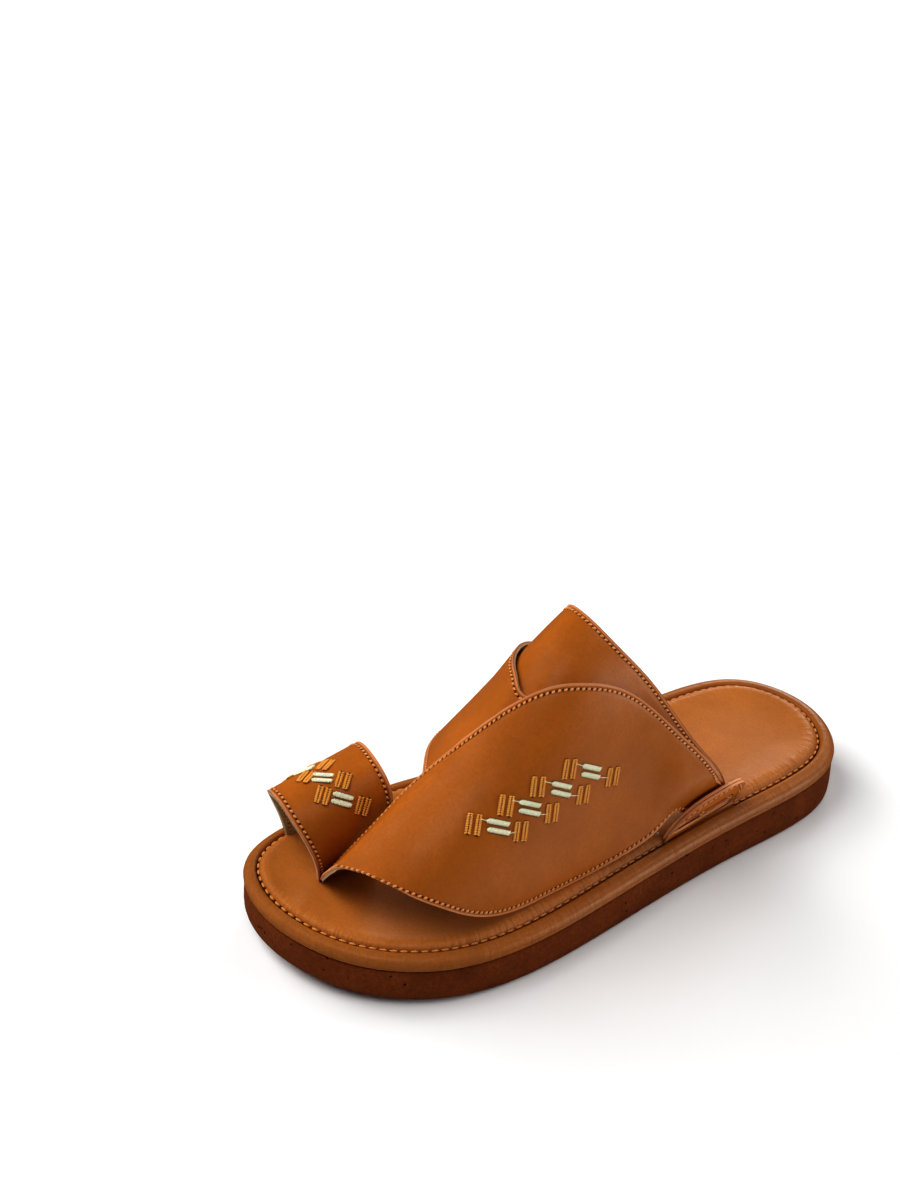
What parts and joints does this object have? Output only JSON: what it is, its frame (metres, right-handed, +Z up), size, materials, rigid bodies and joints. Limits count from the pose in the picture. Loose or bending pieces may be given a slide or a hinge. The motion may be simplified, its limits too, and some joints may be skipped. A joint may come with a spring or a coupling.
{
  "type": "arabic sandal",
  "caption": "Left slip-on leather sandal with crossed instep straps threaded through slotted side ears, a toe loop and a thick sole.",
  "frame": {"origin": "middle of the bounding box's bottom face, on the plane that the sole stands on", "axes": "-Y to the toe, +Y to the heel, +X to the little-toe side, +Z up"},
  "size_m": [0.1137, 0.2912, 0.1297],
  "materials": {
    "sole_foam": "matt foam rubber",
    "rand_leather": "satin",
    "footbed_leather": "satin",
    "upper_leather": "satin",
    "ear_leather": "satin"
  },
  "bodies": {
    "root": {"outsole": "sole_foam", "platform": "rand_leather", "footbed": "footbed_leather", "upper": "upper_leather", "ear_lateral": "ear_leather", "ear_medial": "ear_leather"}
  },
  "joints": []
}
